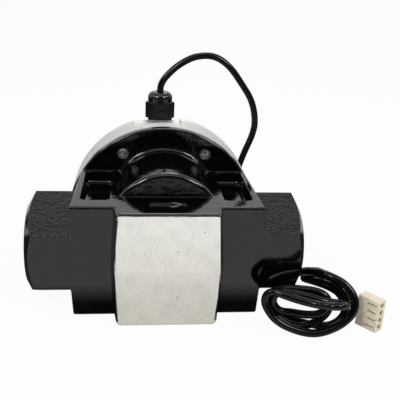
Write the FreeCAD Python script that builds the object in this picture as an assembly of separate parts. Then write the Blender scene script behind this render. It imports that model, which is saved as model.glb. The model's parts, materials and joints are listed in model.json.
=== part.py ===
"""Oval gear flow meter with a cast two-port body, a gear chamber behind it and a pulse cable.

Millimetres. X runs along the ports with the flow, Y points to the back, Z up.
The origin lies on the foot plane, under the middle of the port axis.
"""
import FreeCAD, Part
import math
import os

V = FreeCAD.Vector
X_AXIS = V(1, 0, 0)
Y_AXIS = V(0, 1, 0)
Z_AXIS = V(0, 0, 1)

# Body casting
PORT_HEIGHT = 33.5
HEX_ACROSS_FLATS = 54.0
OVERALL_LENGTH = 153.4
HEX_END_RADIUS = 23.0
HEX_CHAMFER_ANGLE = 30.0
HEX_ROOT_RADIUS = 1.5
BLOCK_TOP = 65.8
BLOCK_BOTTOM = 0.9
BLOCK_HALF_WIDTH = 53.0
BLOCK_TOP_DRAFT = 1.0
BLOCK_BOTTOM_DRAFT = 2.0
BLOCK_BACK_TAPER = 2.2
BLOCK_EDGE_RADIUS = 1.2
BLOCK_FOOT_RADIUS = 2.4
POCKET_INNER_X = 31.0
POCKET_OUTER_X = 47.0
POCKET_FRONT_Y = -16.3
POCKET_DEPTH = 7.0
POCKET_LIP = 1.8
POCKET_CORNER_RADIUS = 3.0
POCKET_FLOOR_RADIUS = 1.6
BOSS_RADIUS = 31.8
BOSS_FRONT_Y = -11.8
BOSS_EDGE_RADIUS = 2.2
BOSS_ROOT_RADIUS = 2.0
PAD_HALF_WIDTH = 27.2
PAD_DRAFT = 1.7
PAD_BASE_FLARE = 2.2
PAD_PROJECTION = 10.0
PAD_EDGE_RADIUS = 1.6
PAD_TOP_CORNER_RADIUS = 2.0
PAD_FOOT_CORNER_RADIUS = 3.0
ARROW_LENGTH = 19.7
ARROW_WIDTH = 7.6
ARROW_SHAFT_WIDTH = 3.6
ARROW_HEAD_LENGTH = 9.0
ARROW_LINE = 0.9
ARROW_HEIGHT = 0.6
ARROW_Y = -23.5
ARROW_ROOT = 1.0

# Arched flange, ring and cover
ARCH_RADIUS = 59.0
ARCH_FOOT_RADIUS = 4.0
ARCH_EDGE_RADIUS = 1.2
FLANGE_FRONT_Y = 34.0
FLANGE_THICKNESS = 5.0
RING_DEPTH = 19.0
COVER_THICKNESS = 9.0
COVER_BACK_RADIUS = 2.0
RELIEF_LEFT_X = -22.0
RELIEF_RIGHT_X = 11.0
RELIEF_START = 10.0
RELIEF_HEIGHT = 89.6

# Ports and passages
PORT_THREAD_RADIUS = 15.15
PORT_THREAD_DEPTH = 20.0
PORT_PASSAGE_RADIUS = 12.5
DIVIDING_WALL = 8.0
GALLERY_WALL = 5.8
GALLERY_FRONT_WALL = 6.0
CHAMBER_PLATE = 7.0
WINDOW_HALF_HEIGHT = 7.0
WINDOW_INNER_X = 8.0
WINDOW_OUTER_X = 18.5

# Oval gears
CHAMBER_HEIGHT = 47.3
GEAR_CENTRES = 32.0
GEAR_SWING = 5.0
GEAR_MESH_CLEARANCE = 0.25
GEAR_BORE_CLEARANCE = 0.35
GEAR_SIDE_CLEARANCE = 0.1
GEAR_TEETH = 20
TOOTH_DEPTH = 1.7
TOOTH_TIP_SHARE = 0.40
TOOTH_ROOT_SHARE = 0.30
SHAFT_RADIUS = 4.0
SHAFT_SOCKET = 5.0
SHAFT_CLEARANCE = 0.03
SHAFT_CHAMFER = 0.5
BUSH_WALL = 2.0
BUSH_CLEARANCE = 0.04
MAGNET_RADIUS = 1.5
MAGNET_LENGTH = 4.0
MAGNET_ORBIT = 8.2
SEAL_OFFSET = 2.2
SEAL_CORD = 1.8
SEAL_GROOVE_DEPTH = 1.6

# Body screws
SCREW_EDGE_DISTANCE = 9.0
SCREW_ANGLES = (30.0, 75.0, 120.0)
SCREW_RADIUS = 2.5
SCREW_HOLE_CLEARANCE = 0.15
SCREW_HEAD_RADIUS = 4.25
SCREW_HEAD_HEIGHT = 5.0
SCREW_TIP_RECESS = 0.6
SCREW_MOUTH_RADIUS = 3.3
SCREW_MOUTH_DEPTH = 1.4
SCREW_TIP_CHAMFER = 0.6
SCREW_HEAD_CHAMFER = 0.4
SCREW_KEY_FLATS = 4.0
SCREW_KEY_DEPTH = 2.6
HEAD_POCKET_CLEARANCE = 0.5

# Pulser cap and electronics
CAP_RADIUS = 33.0
CAP_DEPTH = 24.0
CAP_WALL = 3.5
CAP_EDGE_RADIUS = 3.0
CAP_GASKET = 1.0
CAP_SCREW_RADIUS = 1.5
CAP_SCREW_INSET = 5.8
CAP_SCREW_ANGLES = (45.0, 135.0, 225.0, 315.0)
CAP_PILLAR_RADIUS = 4.0
CAP_HEAD_RADIUS = 2.8
CAP_HEAD_HEIGHT = 2.0
CAP_HEAD_CHAMFER = 0.6
CAP_SCREW_GRIP = 6.0
GLAND_SEAT_RISE = 3.1
GLAND_SEAT_HALF_WIDTH = 12.0
BOARD_RADIUS = 20.0
BOARD_THICKNESS = 1.6
BOARD_GAP = 5.0
BOARD_SCREW_CIRCLE = 16.5
BOARD_SCREW_ANGLES = (0.0, 180.0, 240.0, 300.0)
BOARD_SCREW_RADIUS = 1.25
BOARD_HEAD_RADIUS = 2.3
BOARD_HEAD_HEIGHT = 1.6
SPACER_RADIUS = 2.8
SENSOR_WIDTH = 4.2
SENSOR_THICKNESS = 2.6
SENSOR_REACH = 5.5
SENSOR_CLEARANCE = 0.3

# Cable gland
GLAND_X = -1.5
GLAND_SETBACK = 9.9
GLAND_THREAD_RADIUS = 6.25
GLAND_THREAD_LENGTH = 8.0
GLAND_THREAD_CLEARANCE = 0.05
GLAND_SEAT_RING = 1.0
GLAND_BODY_FLATS = 15.6
GLAND_BODY_HEIGHT = 4.6
GLAND_NECK_RADIUS = 6.0
GLAND_NECK_HEIGHT = 7.0
GLAND_NUT_FLATS = 16.6
GLAND_NUT_HEIGHT = 10.7
GLAND_DOME_HEIGHT = 6.3
GLAND_DOME_RADIUS = 8.0
GLAND_DOME_TOP_RADIUS = 4.8
GLAND_DOME_WALL = 2.1
GLAND_GAP = 0.3
CABLE_RADIUS = 2.2
CABLE_FIT = 0.1
INSERT_RADIUS = 4.2
INNER_CABLE_DROP = 13.4
INNER_WIRE_INSET = 7.3
INNER_WIRE_STAGGER = 4.0

# Connector at the far end of the cable
CONNECTOR_TIP = V(116.6, -45.9, 0.0)
CONNECTOR_AXIS = V(0.6, -0.8, 0.0)
CONNECTOR_LENGTH = 13.0
CONNECTOR_THICKNESS = 6.6
CONNECTOR_PITCH = 4.4
CONNECTOR_WAYS = 4
CONNECTOR_END_WALL = 0.6
CONNECTOR_CELL_WIDTH = 3.2
CONNECTOR_CELL_HEIGHT = 3.0
CONNECTOR_WINDOW_SETBACK = 1.0
CONNECTOR_WINDOW_LENGTH = 6.0
CONNECTOR_WINDOW_HEIGHT = 1.1
CONTACT_SIZE = 1.8
CONTACT_RECESS = 1.2
CONTACT_BACK_RECESS = 1.0
LEAD_RADIUS = 0.6
LEAD_LENGTH = 8.0
LEAD_GAP = 0.3
LEAD_SPREAD = 0.7

# Hank of cable, an elliptical bundle that leans back on the floor in front of the port
HANK_CENTRE = V(76.0, -43.5, 18.4)
HANK_HALF_LENGTH = 27.4
HANK_HALF_WIDTH = 19.2
HANK_THICKNESS = 10.0
HANK_EDGE_RADIUS = 4.5
HANK_TILT = 64.0

# Cable routes, chosen by hand: after the gland to the hank, and from the hank to before the connector
CABLE_EXIT_RISE = 1.4
ARC_SHARE = 0.45
CABLE_RUN = [
    (6.7, 77.4, 119.6), (20.0, 77.4, 129.7), (32.9, 77.4, 130.8),
    (43.6, 77.5, 124.1), (53.0, 77.6, 111.6), (60.0, 77.8, 101.5), (63.3, 78.0, 88.5),
    (62.6, 78.5, 78.6), (57.0, 79.5, 63.8), (53.0, 82.0, 48.0), (54.5, 86.0, 32.0),
    (61.0, 89.0, 17.5), (70.0, 88.5, 7.6), (81.0, 81.5, 3.0), (89.0, 68.0, 2.6),
    (91.5, 51.0, 2.5), (89.5, 35.0, 2.7), (86.0, 20.5, 3.9), (83.0, 8.0, 8.2),
    (81.2, -3.5, 14.5), (80.7, -14.0, 21.5), (84.5, -24.0, 26.5), (92.5, -33.5, 28.3),
]
CABLE_TAIL = [
    (76.8, -35.7, 25.0), (78.5, -24.6, 20.0), (87.0, -17.8, 15.2), (97.4, -19.6, 10.0),
]

# Values that follow from the sizes above
HEX_HALF_FLATS = HEX_ACROSS_FLATS / 2
HEX_CORNER = HEX_HALF_FLATS / math.cos(math.radians(30))
FRONT_Y = -HEX_HALF_FLATS
PAD_FRONT_Y = FRONT_Y - PAD_PROJECTION
FLANGE_BACK_Y = FLANGE_FRONT_Y + FLANGE_THICKNESS
RING_BACK_Y = FLANGE_BACK_Y + RING_DEPTH
COVER_BACK_Y = RING_BACK_Y + COVER_THICKNESS
GEAR_HALF_CENTRES = GEAR_CENTRES / 2
UPPER_AXIS = V(0, 0, CHAMBER_HEIGHT + GEAR_HALF_CENTRES)
LOWER_AXIS = V(0, 0, CHAMBER_HEIGHT - GEAR_HALF_CENTRES)
GEAR_LONG_RADIUS = GEAR_HALF_CENTRES + GEAR_SWING - GEAR_MESH_CLEARANCE / 2
CHAMBER_RADIUS = GEAR_LONG_RADIUS + GEAR_BORE_CLEARANCE
BUSH_RADIUS = SHAFT_RADIUS + BUSH_WALL
SEAL_PATH_RADIUS = CHAMBER_RADIUS + SEAL_OFFSET
CAP_FRONT_Y = COVER_BACK_Y + CAP_GASKET
CAP_BACK_Y = COVER_BACK_Y + CAP_DEPTH
CAP_SCREW_CIRCLE = CAP_RADIUS - CAP_SCREW_INSET
SCREW_CIRCLE_RADIUS = ARCH_RADIUS - SCREW_EDGE_DISTANCE
BOARD_FRONT_Y = COVER_BACK_Y + BOARD_GAP
BOARD_BACK_Y = BOARD_FRONT_Y + BOARD_THICKNESS
CONNECTOR_HEIGHT = CONNECTOR_WAYS * CONNECTOR_PITCH + 2 * CONNECTOR_END_WALL
GLAND_Y = COVER_BACK_Y + GLAND_SETBACK
GLAND_SEAT_HEIGHT = CHAMBER_HEIGHT + CAP_RADIUS + GLAND_SEAT_RISE
INNER_CABLE_END = GLAND_SEAT_HEIGHT - INNER_CABLE_DROP
GLAND_BODY_BASE = GLAND_SEAT_HEIGHT + GLAND_SEAT_RING
GLAND_BODY_TOP = GLAND_BODY_BASE + GLAND_BODY_HEIGHT
GLAND_NUT_BASE = GLAND_BODY_TOP + GLAND_GAP
GLAND_NUT_TOP = GLAND_NUT_BASE + GLAND_NUT_HEIGHT
GLAND_DOME_TOP = GLAND_NUT_TOP + GLAND_DOME_HEIGHT
CABLE_EXIT = V(GLAND_X, GLAND_Y, GLAND_DOME_TOP + CABLE_EXIT_RISE)
CABLE_END = CONNECTOR_TIP - CONNECTOR_AXIS * (CONNECTOR_LENGTH + LEAD_LENGTH) + V(0, 0, CONNECTOR_HEIGHT / 2)
CUT_MARGIN = 5.0
THROUGH = 1.0


def block(x0, x1, y0, y1, z0, z1):
    """A box between two corners."""
    return Part.makeBox(x1 - x0, y1 - y0, z1 - z0, V(x0, y0, z0))


def rod_y(x, z, radius, y0, y1):
    """A cylinder along Y."""
    return Part.makeCylinder(radius, y1 - y0, V(x, y0, z), Y_AXIS)


def rod_z(x, y, radius, z0, z1):
    """A cylinder along Z."""
    return Part.makeCylinder(radius, z1 - z0, V(x, y, z0), Z_AXIS)


def polygon(points):
    """A closed wire of straight edges."""
    return Part.makePolygon(list(points) + [points[0]])


def loft(lower, upper):
    """A straight-sided solid between two closed outlines."""
    return Part.makeLoft([polygon(lower), polygon(upper)], True, True)


def edges_along(shape, axis):
    """The straight edges of a shape that run along an axis."""
    found = []
    for edge in shape.Edges:
        if isinstance(edge.Curve, Part.Line) and abs(edge.Curve.Direction.dot(axis)) > 0.999:
            found.append(edge)
    return found


def edges_at(shape, axis, place):
    """The edges of a shape that lie wholly in the plane at a place along an axis."""
    def lies_there(edge):
        box = edge.BoundBox
        low = V(box.XMin, box.YMin, box.ZMin).dot(axis)
        high = V(box.XMax, box.YMax, box.ZMax).dot(axis)
        return abs(low - place) < 0.01 and abs(high - place) < 0.01
    return [edge for edge in shape.Edges if lies_there(edge)]


def hex_prism(flats, height, base, first_corner=30):
    """An upright hexagonal prism, its first corner turned that many degrees from X."""
    corner = flats / 2 / math.cos(math.radians(30))
    points = []
    for step in range(6):
        angle = math.radians(60 * step + first_corner)
        points.append(base + V(corner * math.cos(angle), corner * math.sin(angle), 0))
    return Part.Face(polygon(points)).extrude(V(0, 0, height))


def arch_plate(y0, y1):
    """An arch with a flat foot on the floor, centred on the port height, between two planes of Y."""
    half_foot = math.sqrt(ARCH_RADIUS ** 2 - PORT_HEIGHT ** 2)
    left = V(-half_foot, y0, 0)
    right = V(half_foot, y0, 0)
    crown = V(0, y0, PORT_HEIGHT + ARCH_RADIUS)
    outline = Part.Wire([Part.Arc(left, crown, right).toShape(), Part.LineSegment(right, left).toShape()])
    plate = Part.Face(outline).extrude(V(0, y1 - y0, 0))
    return plate.makeFillet(ARCH_FOOT_RADIUS, edges_along(plate, Y_AXIS))


def screw_places():
    """The six screw places on their circle round the port height."""
    places = []
    for angle in SCREW_ANGLES:
        offset = SCREW_CIRCLE_RADIUS * math.sin(math.radians(angle))
        height = PORT_HEIGHT + SCREW_CIRCLE_RADIUS * math.cos(math.radians(angle))
        places.append((offset, height))
        places.append((-offset, height))
    return places


def port_bar():
    """The hexagonal bar of the two ports, with its ends turned to a cone like a bolt head."""
    half = OVERALL_LENGTH / 2
    points = []
    for step in range(6):
        angle = math.radians(60 * step)
        rise = HEX_CORNER * math.cos(angle)
        points.append(V(-half, HEX_CORNER * math.sin(angle), PORT_HEIGHT + rise))
    bar = Part.Face(polygon(points)).extrude(V(OVERALL_LENGTH, 0, 0))
    reach = HEX_CORNER + CUT_MARGIN
    slope = (reach - HEX_END_RADIUS) * math.tan(math.radians(HEX_CHAMFER_ANGLE))
    profile = polygon([
        V(-half, 0, PORT_HEIGHT), V(-half, 0, PORT_HEIGHT + HEX_END_RADIUS),
        V(-half + slope, 0, PORT_HEIGHT + reach), V(half - slope, 0, PORT_HEIGHT + reach),
        V(half, 0, PORT_HEIGHT + HEX_END_RADIUS), V(half, 0, PORT_HEIGHT)])
    turned = Part.Face(profile).revolve(V(0, 0, PORT_HEIGHT), X_AXIS, 360)
    return bar.common(turned)


def block_outline(half_width, height):
    """The block's plan at one height, a little narrower at the flange than at the front."""
    back = half_width - BLOCK_BACK_TAPER
    return [V(-half_width, FRONT_Y, height), V(half_width, FRONT_Y, height),
            V(back, FLANGE_BACK_Y, height), V(-back, FLANGE_BACK_Y, height)]


def body_block():
    """The block between the ports, drafted both ways from the parting plane at the port height."""
    middle = block_outline(BLOCK_HALF_WIDTH, PORT_HEIGHT)
    upper = loft(middle, block_outline(BLOCK_HALF_WIDTH - BLOCK_TOP_DRAFT, BLOCK_TOP))
    lower = loft(block_outline(BLOCK_HALF_WIDTH - BLOCK_BOTTOM_DRAFT, BLOCK_BOTTOM), middle)
    upper = upper.makeFillet(BLOCK_EDGE_RADIUS, edges_at(upper, Z_AXIS, BLOCK_TOP))
    lower = lower.makeFillet(BLOCK_FOOT_RADIUS, edges_at(lower, Z_AXIS, BLOCK_BOTTOM))
    return [upper, lower]


def ported_block():
    """The block with the bar of the ports, with hollow fillets where the bar's front slopes leave it."""
    core = port_bar().multiFuse(body_block()).removeSplitter()

    def is_root(edge):
        middle = edge.CenterOfMass
        across = abs(middle.x) > BLOCK_HALF_WIDTH - BLOCK_BOTTOM_DRAFT and abs(middle.x) < BLOCK_HALF_WIDTH
        slope = edge.BoundBox.YMin < FRONT_Y + CUT_MARGIN and edge.BoundBox.YMax > -CUT_MARGIN
        return across and slope and edge.BoundBox.ZLength > HEX_CORNER / 3
    return core.makeFillet(HEX_ROOT_RADIUS, [edge for edge in core.Edges if is_root(edge)])


def pad_outline(half_width, front, height):
    """The pad's plan at one height, flared where it meets the block."""
    base = half_width + PAD_BASE_FLARE
    return [V(-base, FRONT_Y + CUT_MARGIN, height), V(-half_width, front, height),
            V(half_width, front, height), V(base, FRONT_Y + CUT_MARGIN, height)]


def front_pad():
    """The raised front pad, widest and furthest forward at the parting plane, and its foot rail."""
    middle = pad_outline(PAD_HALF_WIDTH + PAD_DRAFT, PAD_FRONT_Y - PAD_DRAFT, PORT_HEIGHT)
    upper = loft(middle, pad_outline(PAD_HALF_WIDTH, PAD_FRONT_Y, BLOCK_TOP))
    lower = loft(pad_outline(PAD_HALF_WIDTH, PAD_FRONT_Y, 0), middle)
    parts = []
    for half, end, corner in ((upper, BLOCK_TOP, PAD_TOP_CORNER_RADIUS), (lower, 0, PAD_FOOT_CORNER_RADIUS)):
        sides = [edge for edge in edges_at(half, Z_AXIS, end) if edge.BoundBox.YLength > PAD_PROJECTION]
        half = half.makeFillet(corner, sides)
        parting = edges_at(half, Z_AXIS, PORT_HEIGHT)
        front = [edge for edge in half.Edges if edge.BoundBox.YMax < FRONT_Y]
        rim = [edge for edge in front if not any(edge.isSame(other) for other in parting)]
        parts.append(half.makeFillet(PAD_EDGE_RADIUS, rim))
    rail_top = BLOCK_BOTTOM + CUT_MARGIN
    rail = block(-PAD_HALF_WIDTH, PAD_HALF_WIDTH, FRONT_Y, FLANGE_BACK_Y, 0, rail_top)
    return parts + [rail]


def boss():
    """The half-round boss: a turned form with a rounded front edge and a hollow fillet at the flange."""
    edge = BOSS_RADIUS - BOSS_EDGE_RADIUS
    root = BOSS_RADIUS + BOSS_ROOT_RADIUS
    diagonal = math.sqrt(0.5)
    front_arc = Part.Arc(
        V(0, BOSS_FRONT_Y, edge),
        V(0, BOSS_FRONT_Y + BOSS_EDGE_RADIUS * (1 - diagonal), edge + BOSS_EDGE_RADIUS * diagonal),
        V(0, BOSS_FRONT_Y + BOSS_EDGE_RADIUS, BOSS_RADIUS))
    root_arc = Part.Arc(
        V(0, FLANGE_FRONT_Y - BOSS_ROOT_RADIUS, BOSS_RADIUS),
        V(0, FLANGE_FRONT_Y - BOSS_ROOT_RADIUS * (1 - diagonal), root - BOSS_ROOT_RADIUS * diagonal),
        V(0, FLANGE_FRONT_Y, root))
    corners = [V(0, FLANGE_FRONT_Y, root), V(0, FLANGE_BACK_Y, root), V(0, FLANGE_BACK_Y, 0),
               V(0, BOSS_FRONT_Y, 0), V(0, BOSS_FRONT_Y, edge)]
    edges = [front_arc.toShape(),
             Part.LineSegment(V(0, BOSS_FRONT_Y + BOSS_EDGE_RADIUS, BOSS_RADIUS),
                              V(0, FLANGE_FRONT_Y - BOSS_ROOT_RADIUS, BOSS_RADIUS)).toShape(),
             root_arc.toShape()]
    for start, end in zip(corners, corners[1:]):
        edges.append(Part.LineSegment(start, end).toShape())
    turned = Part.Face(Part.Wire(edges)).revolve(V(0, 0, 0), Y_AXIS, 360)
    turned.translate(V(0, 0, CHAMBER_HEIGHT))
    return turned


def flow_arrow():
    """The raised outline arrow on the block's top that shows the flow direction."""
    def outline(inset):
        tail = -ARROW_LENGTH / 2 + inset
        neck = ARROW_LENGTH / 2 - ARROW_HEAD_LENGTH + inset
        slope = ARROW_WIDTH / 2 / ARROW_HEAD_LENGTH
        tip = ARROW_LENGTH / 2 - inset * math.sqrt(1 + slope ** 2) / slope
        wing = (tip - neck) * slope
        shaft = ARROW_SHAFT_WIDTH / 2 - inset
        lower_half = [(tail, -shaft), (neck, -shaft), (neck, -wing)]
        upper_half = [(neck, wing), (neck, shaft), (tail, shaft)]
        plan = lower_half + [(tip, 0)] + upper_half
        return Part.Face(polygon([V(x, ARROW_Y + y, BLOCK_TOP - ARROW_ROOT) for x, y in plan]))
    rise = V(0, 0, ARROW_HEIGHT + ARROW_ROOT)
    return outline(0).extrude(rise).cut(outline(ARROW_LINE).extrude(rise))


def pocket(side):
    """The cutter of one pocket in the block's top, with rounded corners and floor."""
    floor = BLOCK_TOP - POCKET_DEPTH
    inner, outer = sorted((side * POCKET_INNER_X, side * POCKET_OUTER_X))
    cutter = block(inner, outer, POCKET_FRONT_Y, FLANGE_FRONT_Y - POCKET_LIP, floor, BLOCK_TOP + CUT_MARGIN)
    cutter = cutter.makeFillet(POCKET_CORNER_RADIUS, edges_along(cutter, Z_AXIS))
    return cutter.makeFillet(POCKET_FLOOR_RADIUS, edges_at(cutter, Z_AXIS, floor))


def port_passage(side):
    """One port's bore, its half of the hollow boss and the window into the gear chamber."""
    half = OVERALL_LENGTH / 2
    outward = V(side, 0, 0)
    mouth = V(side * half, 0, PORT_HEIGHT)
    thread = Part.makeCylinder(PORT_THREAD_RADIUS, PORT_THREAD_DEPTH, mouth, outward * -1)
    inner_end = V(side * DIVIDING_WALL / 2, 0, PORT_HEIGHT)
    bore = Part.makeCylinder(PORT_PASSAGE_RADIUS, half - DIVIDING_WALL / 2, inner_end, outward)
    gallery_end = FLANGE_BACK_Y - CHAMBER_PLATE
    gallery_start = BOSS_FRONT_Y + GALLERY_FRONT_WALL
    gallery = rod_y(0, CHAMBER_HEIGHT, BOSS_RADIUS - GALLERY_WALL, gallery_start, gallery_end)
    low, high = sorted((side * DIVIDING_WALL / 2, side * (BOSS_RADIUS + CUT_MARGIN)))
    gallery = gallery.common(block(low, high, FRONT_Y, FLANGE_BACK_Y, 0, BLOCK_TOP + BOSS_RADIUS))
    low, high = sorted((side * WINDOW_INNER_X, side * WINDOW_OUTER_X))
    window = block(low, high, gallery_end - THROUGH, FLANGE_BACK_Y + THROUGH,
                   CHAMBER_HEIGHT - WINDOW_HALF_HEIGHT, CHAMBER_HEIGHT + WINDOW_HALF_HEIGHT)
    return thread.multiFuse([bore, gallery, window])


def shaft_socket(axis, y0, y1):
    """The cutter of a socket that holds the end of a gear shaft."""
    return rod_y(axis.x, axis.z, SHAFT_RADIUS + SHAFT_CLEARANCE, y0, y1)


def body_casting():
    """The cast body with ports, block, boss, pad, arrow and flange in one piece."""
    flange = arch_plate(FLANGE_FRONT_Y, FLANGE_BACK_Y)
    flange = flange.makeFillet(ARCH_EDGE_RADIUS, edges_at(flange, Y_AXIS, FLANGE_FRONT_Y))
    core = ported_block()
    body = core.multiFuse(front_pad() + [boss(), flange])
    cutters = [pocket(-1), pocket(1), port_passage(-1), port_passage(1)]
    behind = FLANGE_BACK_Y + THROUGH
    for axis in (UPPER_AXIS, LOWER_AXIS):
        cutters.append(shaft_socket(axis, FLANGE_BACK_Y - SHAFT_SOCKET, behind))
    hole_end = FLANGE_FRONT_Y + SCREW_TIP_RECESS - SCREW_HOLE_CLEARANCE
    mouth_end = FLANGE_FRONT_Y + SCREW_MOUTH_DEPTH
    for x, z in screw_places():
        cutters.append(rod_y(x, z, SCREW_RADIUS + SCREW_HOLE_CLEARANCE, hole_end, behind))
        if z > BLOCK_TOP:
            cutters.append(rod_y(x, z, SCREW_MOUTH_RADIUS, FLANGE_FRONT_Y - THROUGH, mouth_end))
    body = body.cut(Part.makeCompound(cutters))
    body = body.cut(seal_groove(FLANGE_BACK_Y - SEAL_GROOVE_DEPTH, behind))
    return body.fuse(flow_arrow()).removeSplitter()


def obround(radius, y):
    """A closed wire round both gear axes: two half circles joined by straight sides."""
    top = UPPER_AXIS.z
    low = LOWER_AXIS.z
    return Part.Wire([
        Part.Arc(V(-radius, y, top), V(0, y, top + radius), V(radius, y, top)).toShape(),
        Part.LineSegment(V(radius, y, top), V(radius, y, low)).toShape(),
        Part.Arc(V(radius, y, low), V(0, y, low - radius), V(-radius, y, low)).toShape(),
        Part.LineSegment(V(-radius, y, low), V(-radius, y, top)).toShape()])


def obround_band(half_width, y0, y1):
    """A flat band of a given half width along the seal's path, between two planes of Y."""
    outer = Part.Face(obround(SEAL_PATH_RADIUS + half_width, y0)).extrude(V(0, y1 - y0, 0))
    inner = Part.Face(obround(SEAL_PATH_RADIUS - half_width, y0)).extrude(V(0, y1 - y0, 0))
    return outer.cut(inner)


def seal_groove(y0, y1):
    """The cutter of a seal's groove, a little wider than the seal."""
    return obround_band(SEAL_CORD / 2 + CABLE_FIT, y0, y1)


def chamber_seal(joint_y, inward):
    """A flattened seal in its groove, flush with the joint face that closes it."""
    low, high = sorted((joint_y, joint_y + inward * SEAL_GROOVE_DEPTH))
    return obround_band(SEAL_CORD / 2, low, high)


def gland_relief():
    """The cutter of the flat on the crown of the ring and cover that clears the cable gland."""
    return block(RELIEF_LEFT_X, RELIEF_RIGHT_X, FLANGE_BACK_Y + RELIEF_START, COVER_BACK_Y + CUT_MARGIN,
                 RELIEF_HEIGHT, PORT_HEIGHT + ARCH_RADIUS + CUT_MARGIN)


def chamber_ring():
    """The ring with the figure-of-eight gear chamber and its side galleries."""
    ring = arch_plate(FLANGE_BACK_Y, RING_BACK_Y)
    front = FLANGE_BACK_Y - THROUGH
    back = RING_BACK_Y + THROUGH
    cutters = [gland_relief()]
    for axis in (UPPER_AXIS, LOWER_AXIS):
        cutters.append(rod_y(axis.x, axis.z, CHAMBER_RADIUS, front, back))
    cutters.append(block(-WINDOW_OUTER_X, WINDOW_OUTER_X, front, back,
                         CHAMBER_HEIGHT - WINDOW_HALF_HEIGHT, CHAMBER_HEIGHT + WINDOW_HALF_HEIGHT))
    for x, z in screw_places():
        cutters.append(rod_y(x, z, SCREW_RADIUS + SCREW_HOLE_CLEARANCE, front, back))
    for cutter in cutters:
        ring = ring.cut(cutter)
    return ring


def sensor_places():
    """The two sensor places, over the path of the upper gear's magnets."""
    return [(UPPER_AXIS.x - MAGNET_ORBIT, UPPER_AXIS.z), (UPPER_AXIS.x + MAGNET_ORBIT, UPPER_AXIS.z)]


def circle_places(radius, angles):
    """Places on a circle round the chamber's centre."""
    places = []
    for angle in angles:
        turn = math.radians(angle)
        places.append((radius * math.cos(turn), CHAMBER_HEIGHT + radius * math.sin(turn)))
    return places


def chamber_cover():
    """The plate that closes the chamber and carries the shafts, sensors and pulser cap."""
    cover = arch_plate(RING_BACK_Y, COVER_BACK_Y)
    cover = cover.makeFillet(COVER_BACK_RADIUS, edges_at(cover, Y_AXIS, COVER_BACK_Y))
    front = RING_BACK_Y - THROUGH
    back = COVER_BACK_Y + THROUGH
    cutters = [gland_relief(), seal_groove(front, RING_BACK_Y + SEAL_GROOVE_DEPTH)]
    for axis in (UPPER_AXIS, LOWER_AXIS):
        cutters.append(shaft_socket(axis, front, RING_BACK_Y + SHAFT_SOCKET))
    for x, z in screw_places():
        cutters.append(rod_y(x, z, SCREW_RADIUS + SCREW_HOLE_CLEARANCE, front, back))
        cutters.append(rod_y(x, z, SCREW_HEAD_RADIUS + HEAD_POCKET_CLEARANCE,
                             COVER_BACK_Y - SCREW_HEAD_HEIGHT, back))
    for x, z in sensor_places():
        half_width = SENSOR_WIDTH / 2 + SENSOR_CLEARANCE
        half_height = SENSOR_THICKNESS / 2 + SENSOR_CLEARANCE
        cutters.append(block(x - half_width, x + half_width, COVER_BACK_Y - SENSOR_REACH - SENSOR_CLEARANCE,
                             back, z - half_height, z + half_height))
    for x, z in circle_places(CAP_SCREW_CIRCLE, CAP_SCREW_ANGLES):
        cutters.append(rod_y(x, z, CAP_SCREW_RADIUS + CABLE_FIT, COVER_BACK_Y - CAP_SCREW_GRIP, back))
    for x, z in circle_places(BOARD_SCREW_CIRCLE, BOARD_SCREW_ANGLES):
        cutters.append(rod_y(x, z, BOARD_SCREW_RADIUS + CABLE_FIT, COVER_BACK_Y - BOARD_GAP, back))
    for cutter in cutters:
        cover = cover.cut(cutter)
    return cover


def gear_radius(angle):
    """The tip outline: half the centre distance, swinging twice a turn, less half the mesh clearance."""
    return GEAR_HALF_CENTRES + GEAR_SWING * math.cos(2 * angle) - GEAR_MESH_CLEARANCE / 2


def gear_point(angle, depth):
    """A point on the tip outline, moved inwards along the outline's normal."""
    radius = gear_radius(angle)
    slope = -2 * GEAR_SWING * math.sin(2 * angle)
    tangent = V(slope * math.cos(angle) - radius * math.sin(angle), 0,
                slope * math.sin(angle) + radius * math.cos(angle))
    tangent.normalize()
    return V(radius * math.cos(angle) - depth * tangent.z, 0, radius * math.sin(angle) + depth * tangent.x)


def equal_pitch_angles(count):
    """Angles that divide the tip outline into equal lengths."""
    steps = 3600
    lengths = [0.0]
    previous = gear_point(0, 0)
    for step in range(1, steps + 1):
        point = gear_point(2 * math.pi * step / steps, 0)
        lengths.append(lengths[-1] + point.distanceToPoint(previous))
        previous = point
    angles = []
    step = 0
    for index in range(count):
        target = lengths[-1] * index / count
        while lengths[step] < target:
            step += 1
        angles.append(2 * math.pi * step / steps)
    return angles


def oval_gear_outline():
    """Teeth of equal pitch round the oval: an arc on each tip and root, with straight flanks."""
    parts_per_tooth = 20
    angles = equal_pitch_angles(GEAR_TEETH * parts_per_tooth)
    total = len(angles)

    def at(tooth, share, depth):
        index = round(tooth * parts_per_tooth + share * parts_per_tooth) % total
        return gear_point(angles[index], depth)

    half_tip = TOOTH_TIP_SHARE / 2
    half_root = TOOTH_ROOT_SHARE / 2
    edges = []
    for tooth in range(GEAR_TEETH):
        tip_start = at(tooth, -half_tip, 0)
        tip_end = at(tooth, half_tip, 0)
        root_start = at(tooth, 0.5 - half_root, TOOTH_DEPTH)
        root_end = at(tooth, 0.5 + half_root, TOOTH_DEPTH)
        next_tip = at(tooth + 1, -half_tip, 0)
        edges.append(Part.Arc(tip_start, at(tooth, 0, 0), tip_end).toShape())
        edges.append(Part.LineSegment(tip_end, root_start).toShape())
        edges.append(Part.Arc(root_start, at(tooth, 0.5, TOOTH_DEPTH), root_end).toShape())
        edges.append(Part.LineSegment(root_end, next_tip).toShape())
    return Part.Wire(edges)


def magnet_places(axis, long_axis_turn):
    """The two magnet places of a gear, on its long axis."""
    turn = math.radians(long_axis_turn)
    step = V(math.cos(turn), 0, math.sin(turn)) * MAGNET_ORBIT
    return [axis + step, axis - step]


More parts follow.
